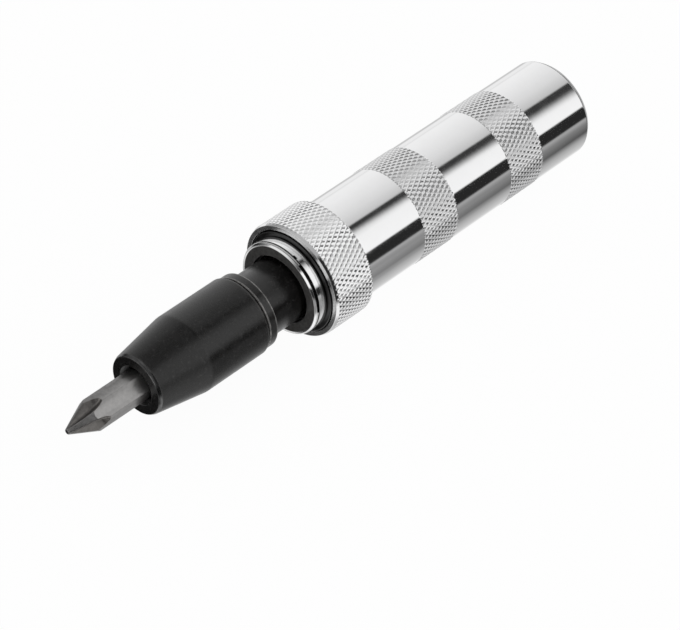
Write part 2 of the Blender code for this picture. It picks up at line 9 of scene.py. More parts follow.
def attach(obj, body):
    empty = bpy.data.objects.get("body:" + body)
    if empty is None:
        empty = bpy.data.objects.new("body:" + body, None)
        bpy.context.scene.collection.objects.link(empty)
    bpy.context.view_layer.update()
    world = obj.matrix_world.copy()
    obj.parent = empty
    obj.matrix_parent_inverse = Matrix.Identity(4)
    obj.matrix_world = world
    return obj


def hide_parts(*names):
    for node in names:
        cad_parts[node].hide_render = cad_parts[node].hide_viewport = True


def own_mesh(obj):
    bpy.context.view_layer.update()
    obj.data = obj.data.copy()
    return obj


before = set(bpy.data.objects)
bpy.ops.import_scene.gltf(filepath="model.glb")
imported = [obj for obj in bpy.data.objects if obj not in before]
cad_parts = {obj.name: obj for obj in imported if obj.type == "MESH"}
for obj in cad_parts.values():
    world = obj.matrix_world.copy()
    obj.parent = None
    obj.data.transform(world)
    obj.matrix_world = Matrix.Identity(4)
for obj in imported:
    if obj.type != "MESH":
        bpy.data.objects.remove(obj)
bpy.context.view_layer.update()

# The tool lies along X, in metres: X = 0 is the striking face and +X points to the bit.
# Angles about the axis run from +Y toward +Z. Lengths without MM beside them, as in the
# outlines, are in millimetres. Each piece repeats the places of the CAD model.
MM = 0.001
CLEAR = 0.3 * MM          # gap between pieces
OVERRUN = 1.0 * MM        # how far a cutter runs past what it cuts

ROUND = 192               # steps round a smooth turned piece
ARC_STEPS = 4             # steps of a rounded edge
SHARP_ANGLE = math.radians(38)
AXIS_R = 1e-7             # below this radius a row is a point on the axis
ROD_STEPS = 64
FINE_BEVEL = 0.09 * MM
BEVEL_ANGLE = math.radians(24)
WEAR_REACH = 2.6          # an edge's wear fades out over so many fillets
WEAR_ROOM = 1.2           # and only where the surface is longer than this times that
WORN_FILLET = 0.3         # the widest fillet, in mm, that counts as a worn edge

# Diamond knurl: two families of V grooves at 30 degrees to the axis
KNURL_AXIAL = 2.6 * MM
KNURL_DEPTH = 0.19 * MM
KNURL_LAND_SHARE = 0.4    # flat share of a diamond's width
KNURL_STEPS = 5           # steps across half a diamond
KNURL_SHARP_ANGLE = math.radians(21)
HANDLE_STARTS = 63
COLLAR_STARTS = 71
KNURL_END = 0.1 * MM      # plain margin at a band's ends
KNURL_MARGIN = 0.12 * MM  # the lattice's rows keep clear of the ends by this


# Mesh helpers
def finish_mesh(name, work_mesh, body, replaced):
    """Put a finished mesh in the scene, riding on its body."""
    made = bpy.data.objects.new(name, work_mesh)
    bpy.context.scene.collection.objects.link(made)
    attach(made, body)
    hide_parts(*replaced)
    return made


def rounded(points):
    """Corner points (x, r, fillet, finish) in mm to fine rows (x, r, edge, finish) in metres.

    The finish is the material of the surface from that point on to the next one.
    """
    count = len(points)
    rows = []
    for i, (x, r, fillet, finish) in enumerate(points):
        here = Vector((x, r))
        if not fillet:
            rows.append((x, r, 0.0, finish))
            continue
        before = Vector(points[i - 1][:2])
        after = Vector(points[(i + 1) % count][:2])
        came = points[i - 1][3]
        back = (before - here).normalized()
        on = (after - here).normalized()
        reach = WEAR_REACH * fillet
        if (before - here).length > reach * WEAR_ROOM:
            p = here + back * reach
            rows.append((p.x, p.y, 0.0, came))
        for k in range(ARC_STEPS + 1):
            t = k / ARC_STEPS
            p = (here + back * fillet) * (1 - t) ** 2 + here * 2 * t * (1 - t)
            p += (here + on * fillet) * t ** 2
            worn = 1.0 if fillet <= WORN_FILLET else 0.0
            rows.append((p.x, p.y, worn, came if k < ARC_STEPS / 2 else finish))
        if (after - here).length > reach * WEAR_ROOM:
            p = here + on * reach
            rows.append((p.x, p.y, 0.0, finish))
    return [(x * MM, r * MM, edge, finish) for x, r, edge, finish in rows]


def diamond(starts, middle, crest, x, angle):
    """The knurl's radius at a place: V grooves of two families between flat diamonds."""
    along = (x - middle) / KNURL_AXIAL
    around = angle * starts / math.tau
    first = np.abs((along + around + 0.5) % 1 - 0.5)
    second = np.abs((along - around + 0.5) % 1 - 0.5)
    rise = np.clip(np.minimum(first, second) * 2 / (1 - KNURL_LAND_SHARE), 0, 1)
    return crest - KNURL_DEPTH * (1 - rise)


def knurl_rows(start, end, starts, crest, finish):
    """Rows of a knurled band in metres: its ends, and rows on the lattice between them."""
    middle = (start + end) / 2 * MM
    step = KNURL_AXIAL / 2 / KNURL_STEPS
    half = (end - start) / 2 * MM
    reach = int((half - KNURL_MARGIN) / step)
    xs = [middle - half + KNURL_END]
    xs += [middle + k * step for k in range(-reach, reach + 1)]
    xs += [middle + half - KNURL_END]
    return [(x, crest * MM, 0.0, finish, (starts, middle, crest * MM)) for x in xs]


def lathe(name, rows, materials, columns=ROUND):
    """A closed mesh of revolution about X from rows (x, r, edge, finish[, knurl]).

    Rows on the axis become one point. Knurled rows get their radius from the lattice, and
    their squares are split along the grooves.
    """
    angles = np.arange(columns) * math.tau / columns
    verts, rings, edge_values = [], [], []
    for row in rows:
        x, r, edge = row[:3]
        if r < AXIS_R:
            rings.append([len(verts)])
            verts.append((x, 0.0, 0.0))
            edge_values.append(edge)
            continue
        radii = np.full(columns, r)
        if len(row) > 4:
            starts, middle, crest = row[4]
            radii = diamond(starts, middle, crest, x, angles)
        rings.append(list(range(len(verts), len(verts) + columns)))
        ys, zs = radii * np.cos(angles), radii * np.sin(angles)
        verts.extend(zip([x] * columns, ys.tolist(), zs.tolist()))
        edge_values.extend([edge] * columns)
    faces, finishes = [], []
    pairs = list(zip(range(len(rows)), range(1, len(rows))))
    if rows[0][1] > AXIS_R and rows[-1][1] > AXIS_R:
        pairs.append((len(rows) - 1, 0))
    for a, b in pairs:
        ring, following = rings[a], rings[b]
        finish = rows[a][3]
        knurled = len(rows[a]) > 4 and len(rows[b]) > 4
        if knurled:
            middle = rows[a][4][1]
            step = KNURL_AXIAL / 2
            across = math.floor(((rows[a][0] + rows[b][0]) / 2 - middle) / step)
        for j in range(columns):
            k = (j + 1) % columns
            if len(ring) == 1:
                new = [(ring[0], following[k], following[j])]
            elif len(following) == 1:
                new = [(ring[j], ring[k], following[0])]
            elif knurled:
                if (j // KNURL_STEPS + across) % 2 == 0:
                    new = [(ring[j], ring[k], following[k]), (ring[j], following[k], following[j])]
                else:
                    new = [(ring[j], ring[k], following[j]), (ring[k], following[k], following[j])]
            else:
                new = [(ring[j], ring[k], following[k], following[j])]
            faces.extend(new)
            finishes.extend([finish] * len(new))
    mesh = bpy.data.meshes.new(name)
    mesh.from_pydata(verts, [], faces)
    for m in materials:
        mesh.materials.append(m)
    mesh.polygons.foreach_set("material_index", finishes)
    edge_field = mesh.attributes.new("edge", "FLOAT", "POINT")
    edge_field.data.foreach_set("value", edge_values)
    work = bmesh.new()
    work.from_mesh(mesh)
    bmesh.ops.recalc_face_normals(work, faces=work.faces)
    work.to_mesh(mesh)
    work.free()
    smooth(mesh)
    return mesh


def smooth(mesh, angle=SHARP_ANGLE):
    mesh.polygons.foreach_set("use_smooth", [True] * len(mesh.polygons))
    mesh.set_sharp_from_angle(angle=angle)


def radial(angle, distance, x, across=0.0):
    """A point at an angle about X from +Y toward +Z, shifted across that direction."""
    return Vector((
        x,
        distance * math.cos(angle) - across * math.sin(angle),
        distance * math.sin(angle) + across * math.cos(angle),
    ))


def mesh_of(name, work):
    bmesh.ops.recalc_face_normals(work, faces=work.faces)
    mesh = bpy.data.meshes.new(name)
    work.to_mesh(mesh)
    work.free()
    return mesh


def box_cutter(items):
    """Boxes: (angle about X, near, far, half width, start, end) in metres."""
    work = bmesh.new()
    for angle, near, far, half_width, start, end in items:
        place = Matrix.Rotation(angle, 4, "X")
        place @= Matrix.Translation(((start + end) / 2, (near + far) / 2, 0))
        place @= Matrix.Diagonal((end - start, far - near, 2 * half_width, 1))
        bmesh.ops.create_cube(work, size=1, matrix=place)
    return mesh_of("boxes", work)


def rod_cutter(rods):
    """Round rods that point outward: (angle about X, x, radius, inner end, outer end)."""
    work = bmesh.new()
    for angle, x, rod_r, inner, outer in rods:
        place = Matrix.Rotation(angle, 4, "X")
        place @= Matrix.Translation((x, (inner + outer) / 2, 0))
        place @= Matrix.Rotation(-math.pi / 2, 4, "X")
        bmesh.ops.create_cone(work, cap_ends=True, segments=ROD_STEPS, radius1=rod_r,
                              radius2=rod_r, depth=outer - inner, matrix=place)
    return mesh_of("rods", work)


def prism_cutter(sides, flats, roll, start, end):
    """A regular prism along X with one flat facing the roll angle."""
    place = Matrix.Rotation(roll + math.pi / sides, 4, "X")
    place @= Matrix.Translation(((start + end) / 2, 0, 0))
    place @= Matrix.Rotation(math.pi / 2, 4, "Y")
    corner_r = flats / 2 / math.cos(math.pi / sides)
    work = bmesh.new()
    bmesh.ops.create_cone(work, cap_ends=True, segments=sides, radius1=corner_r,
                          radius2=corner_r, depth=end - start, matrix=place)
    return mesh_of("prism", work)


def loft_cutter(rows):
    """Closed lofts through rows of sections with equal numbers of points."""
    work = bmesh.new()
    for sections in rows:
        join_rings(work, [[work.verts.new(point) for point in section] for section in sections])
    return mesh_of("loft", work)


def join_rings(work, rings):
    """Skin a row of rings with equal numbers of points and close its two ends."""
    for ring, following in zip(rings, rings[1:]):
        for i in range(len(ring)):
            j = (i + 1) % len(ring)
            work.faces.new((ring[i], ring[j], following[j], following[i]))
    work.faces.new(rings[0])
    work.faces.new(reversed(rings[-1]))


def helix(name, turns, coil_r, wire_r, start, end, place, finish):
    """A spring of one wire along local X, put in its place by a matrix."""
    per_turn, sides = 24, 12
    lift = (end - start - 2 * wire_r) / (math.tau * turns)
    work = bmesh.new()
    rings = []
    for k in range(turns * per_turn + 1):
        angle = math.tau * k / per_turn
        outer = Vector((0, math.cos(angle), math.sin(angle)))
        ahead = Vector((lift, -coil_r * math.sin(angle), coil_r * math.cos(angle))).normalized()
        across = ahead.cross(outer)
        centre = Vector((start + wire_r + lift * angle, 0, 0)) + outer * coil_r
        turns_round = [math.tau * i / sides for i in range(sides)]
        rings.append([
            work.verts.new(centre + (outer * math.cos(t) + across * math.sin(t)) * wire_r)
            for t in turns_round
        ])
    join_rings(work, rings)
    mesh = mesh_of(name, work)
    mesh.transform(place)
    mesh.materials.append(finish)
    smooth(mesh)
    return mesh


def painted(mesh, finishes, index):
    """A cutter whose cut gets one of the finishes."""
    for finish in finishes:
        mesh.materials.append(finish)
    mesh.polygons.foreach_set("material_index", [index] * len(mesh.polygons))
    return mesh


def carve(mesh, steps, bevel=0.0, bevel_finish=-1, sharp=SHARP_ANGLE):
    """Boolean steps (operation, cutter mesh) on a mesh, then a fine bevel on its sharp edges."""
    made = bpy.data.objects.new("work", mesh)
    bpy.context.scene.collection.objects.link(made)
    cutters = []
    for operation, cutter_mesh in steps:
        cutter = bpy.data.objects.new("cutter", cutter_mesh)
        bpy.context.scene.collection.objects.link(cutter)
        cutters.append(cutter)
        step = made.modifiers.new("cut", "BOOLEAN")
        step.operation = operation
        step.solver = "EXACT"
        step.object = cutter
    if bevel:
        edge = made.modifiers.new("edge", "BEVEL")
        edge.width = bevel
        edge.segments = 2
        edge.material = bevel_finish
        edge.limit_method = "ANGLE"
        edge.angle_limit = BEVEL_ANGLE
        edge.use_clamp_overlap = True
        edge.harden_normals = False
    bpy.context.view_layer.update()
    seen = made.evaluated_get(bpy.context.evaluated_depsgraph_get())
    result = bpy.data.meshes.new_from_object(seen)
    for spare in [made, *cutters]:
        bpy.data.objects.remove(spare, do_unlink=True)
    smooth(result, sharp)
    return result


# Materials
class Nodes:
    """Short calls for a node tree."""

    def __init__(self, tree):
        self.tree = tree
        self.tree.nodes.clear()

    def add(self, kind, values=(), **settings):
        node = self.tree.nodes.new(kind)
        for key, value in settings.items():
            setattr(node, key, value)
        for key, value in dict(values).items():
            self.feed(node, key, value)
        return node

    def feed(self, node, key, value):
        if isinstance(value, bpy.types.NodeSocket):
            self.tree.links.new(value, node.inputs[key])
        else:
            node.inputs[key].default_value = value

    def math(self, operation, *values, clamp=False):
        return self.add("ShaderNodeMath", enumerate(values), operation=operation,
                        use_clamp=clamp).outputs[0]

    def scaled(self, value, low, high, new_low, new_high, kind="LINEAR"):
        inputs = {"Value": value, "From Min": low, "From Max": high,
                  "To Min": new_low, "To Max": new_high}
        return self.add("ShaderNodeMapRange", inputs, interpolation_type=kind).outputs[0]

    def mixed(self, share, first, second):
        node = self.add("ShaderNodeMix", data_type="RGBA")
        self.feed(node, 0, share)
        self.feed(node, 6, first)
        self.feed(node, 7, second)
        return node.outputs[2]

    def noise(self, vector, scale, detail=2.0, roughness=0.5):
        inputs = {"Vector": vector, "Scale": scale, "Detail": detail, "Roughness": roughness}
        return self.add("ShaderNodeTexNoise", inputs).outputs[0]


def turned_vector(n, along, around):
    """Coordinates that stretch a texture round the axis, as turning and polishing marks lie."""
    where = n.add("ShaderNodeTexCoord").outputs["Object"]
    parts = n.add("ShaderNodeSeparateXYZ", {0: where})
    x, y, z = parts.outputs[0], parts.outputs[1], parts.outputs[2]
    r = n.math("SQRT", n.math("ADD", n.math("MULTIPLY", y, y),
                              n.math("MULTIPLY_ADD", z, z, 1e-9)))
    inputs = {
        0: n.math("MULTIPLY_ADD", r, 1.7 * along, n.math("MULTIPLY", x, along)),
        1: n.math("MULTIPLY", n.math("DIVIDE", y, r), around),
        2: n.math("MULTIPLY", n.math("DIVIDE", z, r), around),
    }
    return n.add("ShaderNodeCombineXYZ", inputs).outputs[0], where


def grey(level, tint=0.0):
    return (level, level, level * (1 + tint), 1.0)


def start_material(name):
    made = bpy.data.materials.new(name)
    made.use_nodes = True
    return made, Nodes(made.node_tree)


def close_material(made, n, inputs):
    shader = n.add("ShaderNodeBsdfPrincipled", inputs)
    n.add("ShaderNodeOutputMaterial", {0: shader.outputs[0]})
    return made


def chrome_material(name, low, high, marks, level=0.87):
    """Bright chrome plate: faint turning marks under it and a slightly uneven polish."""
    made, n = start_material(name)
    fine, where = turned_vector(n, 2600, 5)
    coarse, where = turned_vector(n, 700, 3)
    streaks = n.noise(fine, 1.0, 3.0, 0.6)
    wide = n.noise(coarse, 1.0, 2.0, 0.5)
    cloud = n.noise(where, 260, 3.0, 0.6)
    height = n.math("ADD", n.math("MULTIPLY", streaks, 0.35), wide)
    bump = n.add("ShaderNodeBump", {"Strength": 1.0, "Distance": marks, "Height": height})
    return close_material(made, n, {
        "Base Color": n.mixed(cloud, grey(level, 0.005), grey(level + 0.05, 0.004)),
        "Metallic": 1.0,
        "Roughness": n.scaled(cloud, 0.3, 0.7, low, high),
        "Normal": bump.outputs[0],
    })


def bare_material(name, dark, light, marks, roughness):
    """Bare turned steel with visible tool marks."""
    made, n = start_material(name)
    fine, where = turned_vector(n, 5200, 1.5)
    rings = n.noise(fine, 1.0, 3.0, 0.65)
    cloud = n.noise(where, 420, 3.0, 0.6)
    shade = n.math("MULTIPLY", n.scaled(rings, 0.3, 0.7, 0, 1), n.scaled(cloud, 0.2, 0.8, 0.5, 1))
    bump = n.add("ShaderNodeBump", {"Strength": 1.0, "Distance": marks, "Height": rings})
    return close_material(made, n, {
        "Base Color": n.mixed(shade, dark, light),
        "Metallic": 1.0,
        "Roughness": n.scaled(cloud, 0.2, 0.8, roughness - 0.07, roughness + 0.07),
        "Normal": bump.outputs[0],
    })


def face_material(name, low, high, shine):
    """A faced end of bright steel: fine rings that spread reflections outward."""
    made, n = start_material(name)
    fine, where = turned_vector(n, 2600, 0.6)
    rings = n.noise(fine, 1.0, 3.0, 0.6)
    cloud = n.noise(where, 420, 3.0, 0.6)
    bump = n.add("ShaderNodeBump", {"Strength": 1.0, "Distance": 6e-6, "Height": rings})
    around = n.add("ShaderNodeTangent", direction_type="RADIAL", axis="X")
    return close_material(made, n, {
        "Base Color": n.mixed(rings, grey(low), grey(high)),
        "Metallic": 1.0,
        "Roughness": n.scaled(cloud, 0.2, 0.8, shine, shine + 0.09),
        "Anisotropic": 0.80,
        "Anisotropic Rotation": 0.25,
        "Tangent": around.outputs[0],
        "Normal": bump.outputs[0],
    })


def black_material(name, sheen_low, sheen_high, worn, rub=0.0, gloss=0.5):
    """Oiled black oxide: uneven satin sheen, faint marks, and edges rubbed to bare metal."""
    made, n = start_material(name)
    fine, where = turned_vector(n, 3400, 6)
    marks = n.noise(fine, 1.0, 3.0, 0.6)
    cloud = n.noise(where, 420, 8.0, 0.8)
    grain = n.noise(where, 5200, 2.0, 0.5)
    edge = n.add("ShaderNodeAttribute", attribute_name="edge").outputs["Fac"]
    patchy = n.noise(where, 900, 3.0, 0.7)
    wear = n.math("MULTIPLY", n.scaled(patchy, 0.38, 0.62, 0.25, 1.0),
                  n.scaled(edge, 0.35, 0.95, 0, worn), clamp=True)
    scuffed = n.noise(where, 1300, 6.0, 0.75)
    scuffs = n.math("MULTIPLY", n.scaled(scuffed, 0.52, 0.76, 0, 0.12),
                    n.scaled(cloud, 0.45, 0.6, 0.15, 1))
    scuffs = n.math("ADD", scuffs, n.scaled(patchy, 0.3, 0.7, 0.6 * rub, 1.4 * rub))
    wear = n.math("ADD", wear, scuffs, clamp=True)
    colour = n.mixed(cloud, (0.0015, 0.0014, 0.0014, 1), (0.0060, 0.0056, 0.0054, 1))
    height = n.math("ADD", n.math("MULTIPLY", marks, 0.7), n.math("MULTIPLY", grain, 0.5))
    bump = n.add("ShaderNodeBump", {"Strength": 1.0, "Distance": 2.2e-6, "Height": height})
    return close_material(made, n, {
        "Base Color": n.mixed(wear, colour, (0.42, 0.41, 0.40, 1)),
        "Metallic": wear,
        "Roughness": n.scaled(cloud, 0.25, 0.75, sheen_low, sheen_high),
        "Specular IOR Level": gloss,
        "Normal": bump.outputs[0],
    })


def blasted_material(name, dark, light, painted_light_share=0.0, metal=0.95):
    """Bead-blasted tool steel: a fine grain, a random cloudy tone, and painted light that colours
    the surfaces facing one side lighter.
    """
    made, n = start_material(name)
    where = n.add("ShaderNodeTexCoord").outputs["Object"]
    grain = n.noise(where, 5200, 3.0, 0.6)
    cloud = n.noise(where, 900, 4.0, 0.65)
    # Painted light: surfaces lying farther toward this direction are coloured lighter, as if lit
    # from that side.
    facing_light = n.add("ShaderNodeVectorMath", {0: where, 1: (0, 0.966, 0.259)},
                   operation="DOT_PRODUCT").outputs["Value"]
    light_and_tone = n.math("MULTIPLY", n.scaled(facing_light, -0.0005, 0.0035, 0, 1), painted_light_share)
    light_and_tone = n.math("ADD", light_and_tone, n.scaled(cloud, 0.25, 0.75, 0, 1 - painted_light_share))
    bump = n.add("ShaderNodeBump", {"Strength": 1.0, "Distance": 9e-6, "Height": grain})
    return close_material(made, n, {
        "Base Color": n.mixed(light_and_tone, dark, light),
        "Metallic": metal,
        "Roughness": n.scaled(cloud, 0.25, 0.75, 0.30, 0.38),
        "Normal": bump.outputs[0],
    })


def rubber_material(name):
    made, n = start_material(name)
    where = n.add("ShaderNodeTexCoord").outputs["Object"]
    grain = n.noise(where, 3000, 3.0, 0.6)
    bump = n.add("ShaderNodeBump", {"Strength": 1.0, "Distance": 4e-6, "Height": grain})
    return close_material(made, n, {
        "Base Color": n.mixed(grain, grey(0.012), grey(0.022)),
        "Roughness": n.scaled(grain, 0.3, 0.7, 0.48, 0.62),
        "Normal": bump.outputs[0],
    })


# Finishes
chrome = chrome_material("chrome", 0.045, 0.085, 1.3e-6)
knurl_chrome = chrome_material("knurl_chrome", 0.09, 0.15, 0.6e-6)
grip_chrome = chrome_material("grip_chrome", 0.16, 0.24, 0.6e-6, 0.74)
edge_chrome = chrome_material("edge_chrome", 0.12, 0.20, 0.6e-6, 0.52)
nose_chrome = chrome_material("nose_chrome", 0.06, 0.11, 1.6e-6)
bare_dark = bare_material("turned_dark", grey(0.03), grey(0.13), 3e-6, 0.34)
turned_face = face_material("turned_face", 0.74, 0.93, 0.20)
bare = bare_material("turned", (0.26, 0.255, 0.245, 1), (0.45, 0.44, 0.425, 1), 2e-6, 0.34)
black = black_material("black_oxide", 0.22, 0.35, 0.06)
black_rim = bare_material("black_oxide_rim", grey(0.03), grey(0.26), 1e-6, 0.24)
black_spindle = black_material("black_oxide_spindle", 0.20, 0.30, 0.30, 0.0, 0.38)
black_flange = black_material("black_oxide_flange", 0.18, 0.30, 0.6, 0.012)
# Painted shade: near-black for the nose's groove, notch, mouth and bore, which lie in shadow.
painted_shade_black = black_material("painted_shade_black", 0.16, 0.24, 0.25)
black_face = black_material("black_face", 0.18, 0.26, 0.1, 0.17)
# The bit's finish carries painted light on its flats.
blasted = blasted_material("blasted", (0.14, 0.137, 0.135, 1), (0.44, 0.433, 0.427, 1), 0.6)
rubbed = blasted_material("rubbed", (0.36, 0.355, 0.35, 1), (0.50, 0.495, 0.49, 1), 0.0, 0.3)
# Painted shade: a darker copy of the bit's finish for the hollows of its flutes.
painted_flute_shade = blasted_material("painted_flute_shade", (0.10, 0.096, 0.092, 1), (0.27, 0.257, 0.245, 1), 0.4)
wire_steel = bare_material("wire", (0.55, 0.55, 0.55, 1), (0.80, 0.80, 0.79, 1), 0.5e-6, 0.16)
ball_steel = bare_material("ball", (0.62, 0.62, 0.62, 1), (0.78, 0.78, 0.77, 1), 0.1e-6, 0.12)
rubber = rubber_material("nitrile")

# Handle
GRIP_END, NECK_END = 92.69, 106.30
HANDLE_R, NECK_R, CREST_R = 15.0, 13.9, 15.12
BORE_R, SPRING_BORE_R = 11.7, 11.0
BORE_FLOOR, SPRING_BORE_END = 20.0, 55.7
REAR_BAND, FRONT_BAND = (21.0, 34.3), (56.6, 70.0)
BAND_GAPS = (0.1, 0.3)                       # plain rows beside a knurled band
STRIKE_CHAMFER, STRIKE_DROP = 1.42, 1.0
# The dark line is painted: a dark finish stands for the dark reflection in the rounding between
# chamfer and barrel.
LINE_END, LINE_DROP = 1.62, 0.053            # dark line between chamfer and barrel
LINE_SUPPORT = 1.8                           # keeps the barrel's shading straight
O_RING_START, O_RING_END, O_RING_ROOT_R = 94.4, 95.96, 12.64
SMOOTH, KNURL, CHAMFER, PAINTED_REFLECTION_LINE = 0, 1, 2, 3


def lead_in(band):
    """Plain rows of the barrel before a knurled band."""
    return [(band[0] - gap, HANDLE_R, 0, SMOOTH) for gap in reversed(BAND_GAPS)]


def lead_out(band):
    """Plain rows of the barrel after a knurled band."""
    return [(band[1] + gap, HANDLE_R, 0, SMOOTH) for gap in BAND_GAPS]


rows = rounded([
    (0, 0, 0, SMOOTH), (0, HANDLE_R - STRIKE_DROP, 0.2, CHAMFER),
    (STRIKE_CHAMFER, HANDLE_R - LINE_DROP, 0, PAINTED_REFLECTION_LINE), (LINE_END, HANDLE_R, 0, SMOOTH),
    (LINE_SUPPORT, HANDLE_R, 0, SMOOTH), *lead_in(REAR_BAND),
])
rows += knurl_rows(*REAR_BAND, HANDLE_STARTS, CREST_R, KNURL)
rows += rounded([*lead_out(REAR_BAND), *lead_in(FRONT_BAND)])
rows += knurl_rows(*FRONT_BAND, HANDLE_STARTS, CREST_R, KNURL)
rows += rounded([
    *lead_out(FRONT_BAND), (GRIP_END, HANDLE_R, 0.2, SMOOTH), (GRIP_END, NECK_R, 0, SMOOTH),
    (O_RING_START, NECK_R, 0.1, SMOOTH), (O_RING_START, O_RING_ROOT_R, 0, SMOOTH),
    (O_RING_END, O_RING_ROOT_R, 0, SMOOTH), (O_RING_END, NECK_R, 0.1, SMOOTH),
    (NECK_END, NECK_R, 0.15, SMOOTH), (NECK_END, BORE_R, 0, SMOOTH),
    (SPRING_BORE_END, BORE_R, 0, SMOOTH), (SPRING_BORE_END, SPRING_BORE_R, 0, SMOOTH),
    (BORE_FLOOR, SPRING_BORE_R, 0, SMOOTH), (BORE_FLOOR, 0, 0, SMOOTH),
])
handle_mesh = lathe("handle_grip", rows, [chrome, grip_chrome, edge_chrome, bare_dark],
                    HANDLE_STARTS * 2 * KNURL_STEPS)

# Slots in the neck, in which the selector's keys swing
KEY_X, KEY_HOLE_R = 98.5 * MM, 2.0 * MM
SELECT_TURN = math.radians(6.0)
HALF_FACET = math.pi / 48
KEY_ANGLES = (HALF_FACET, math.pi + HALF_FACET)
KEY_REACH = SELECT_TURN + math.asin(KEY_HOLE_R / (BORE_R * MM))
SLOT_STEPS = 6


def slot_section(angle):
    """A square across a neck slot, a little inside and outside the neck's wall."""
    low, high = KEY_X - KEY_HOLE_R, KEY_X + KEY_HOLE_R
    inner_r, outer_r = BORE_R * MM - OVERRUN, NECK_R * MM + OVERRUN
    return [radial(angle, inner_r, low), radial(angle, inner_r, high),
            radial(angle, outer_r, high), radial(angle, outer_r, low)]


neck_slots = loft_cutter([
    [slot_section(middle + KEY_REACH * k / SLOT_STEPS) for k in range(-SLOT_STEPS, SLOT_STEPS + 1)]
    for middle in KEY_ANGLES
])
handle_mesh = carve(handle_mesh, [("DIFFERENCE", neck_slots)], sharp=KNURL_SHARP_ANGLE)
finish_mesh("handle_grip", handle_mesh, "handle_body", ["handle"])

# Selector collar
COLLAR_START, COLLAR_CHAMFER, COLLAR_FACE = 92.99, 106.25, 107.14
COLLAR_R, COLLAR_BORE_R, STOP_BORE_R = 17.2, 14.2, 15.5
COLLAR_REAR_R, COLLAR_EDGE_R, COLLAR_CHAMFER_R, COLLAR_FACE_R = 16.85, 17.15, 17.18, 16.8
COLLAR_EDGE, COLLAR_KNURL_START = 93.27, 93.34
POCKET_FLOOR_R, POCKET_END_R = 13.2, 15.6
FACE, DARK = 2, 3

rows = rounded([
    (COLLAR_START, COLLAR_BORE_R, 0, DARK), (COLLAR_START, COLLAR_REAR_R, 0.1, SMOOTH),
    (COLLAR_EDGE, COLLAR_EDGE_R, 0, SMOOTH),
])
rows += knurl_rows(COLLAR_KNURL_START, COLLAR_CHAMFER, COLLAR_STARTS, COLLAR_R, KNURL)
rows += rounded([
    (COLLAR_CHAMFER, COLLAR_CHAMFER_R, 0, SMOOTH), (COLLAR_FACE, COLLAR_FACE_R, 0.08, FACE),
    (COLLAR_FACE, STOP_BORE_R, 0.08, DARK), (NECK_END, STOP_BORE_R, 0, DARK),
    (NECK_END, COLLAR_BORE_R, 0, DARK),
])
collar_mesh = lathe("collar", rows, [chrome, knurl_chrome, turned_face, bare_dark],
                    COLLAR_STARTS * 2 * KNURL_STEPS)
pockets = rod_cutter([
    (angle, KEY_X, KEY_HOLE_R, POCKET_FLOOR_R * MM, POCKET_END_R * MM) for angle in KEY_ANGLES
])
collar_mesh = carve(collar_mesh, [("DIFFERENCE", pockets)], sharp=KNURL_SHARP_ANGLE)
finish_mesh("collar", collar_mesh, "selector", ["selector_collar"])

# Stop ring
STOP_START, STOP_END, STOP_R, STOP_FILLET = 106.6, 107.6, 15.2, 0.3
stop_mesh = lathe("stop_ring", rounded([
    (STOP_START, BORE_R, 0, 0), (STOP_START, STOP_R, STOP_FILLET, 0),
    (STOP_END, STOP_R, STOP_FILLET, 0), (STOP_END, BORE_R, 0, 0),
]), [bare_dark])
finish_mesh("stop_ring", stop_mesh, "handle_body", ["collar_stop_ring"])

# Nose bush with its groove, its recessed face and a notch beside the wire ring's gap
NOSE_TAIL, NOSE_START, NOSE_FACE, NOSE_RECESS = 102.3, 107.9, 112.05, 0.25
NOSE_TAIL_R, NOSE_BORE_R, NOSE_MOUTH_R = 11.4, 9.8, 10.2
NOSE_FACE_R, NOSE_LAND_R = 13.4, 13.06
GROOVE_START, GROOVE_END, GROOVE_R = 110.45, 111.5, 13.15
SEAL_START, SEAL_END, SEAL_R = 108.4, 110.2, 10.9
NOTCH_ANGLE, NOTCH_HALF_WIDTH = math.radians(70), 0.65
NOTCH_START, NOTCH_END, NOTCH_R, NOTCH_REACH = 110.05, 110.55, 13.3, 15.0
PLATE, TURNED, PAINTED_SHADE, RECESSED = 0, 1, 2, 3

# The groove, the notch, the mouth and the bore get the near-black finish as painted shade.
nose_finishes = [nose_chrome, turned_face, painted_shade_black, black_face]
nose_mesh = lathe("nose", rounded([
    (NOSE_START, NOSE_TAIL_R, 0, PLATE), (NOSE_START, NECK_R, 0.1, PLATE),
    (GROOVE_START, NECK_R, 0.06, PAINTED_SHADE), (GROOVE_START, GROOVE_R, 0, PAINTED_SHADE),
    (GROOVE_END, GROOVE_R, 0, PAINTED_SHADE), (GROOVE_END, NECK_R, 0.06, PLATE),
    (NOSE_FACE, NOSE_FACE_R, 0.08, TURNED),
    (NOSE_FACE - NOSE_RECESS, NOSE_LAND_R, 0.05, RECESSED),
    (NOSE_FACE - NOSE_RECESS, NOSE_MOUTH_R, 0.2, PAINTED_SHADE), (SEAL_END, NOSE_MOUTH_R, 0, PAINTED_SHADE),
    (SEAL_END, SEAL_R, 0, PAINTED_SHADE), (SEAL_START, SEAL_R, 0, PAINTED_SHADE),
    (SEAL_START, NOSE_BORE_R, 0, PAINTED_SHADE), (NOSE_TAIL, NOSE_BORE_R, 0, PAINTED_SHADE),
    (NOSE_TAIL, NOSE_TAIL_R, 0, PAINTED_SHADE),
]), nose_finishes)
notch = box_cutter([(NOTCH_ANGLE, NOTCH_R * MM, NOTCH_REACH * MM, NOTCH_HALF_WIDTH * MM,
                     NOTCH_START * MM, NOTCH_END * MM)])
nose_mesh = carve(nose_mesh, [("DIFFERENCE", painted(notch, nose_finishes, PAINTED_SHADE))])
finish_mesh("nose", nose_mesh, "handle_body", ["nose_bush"])

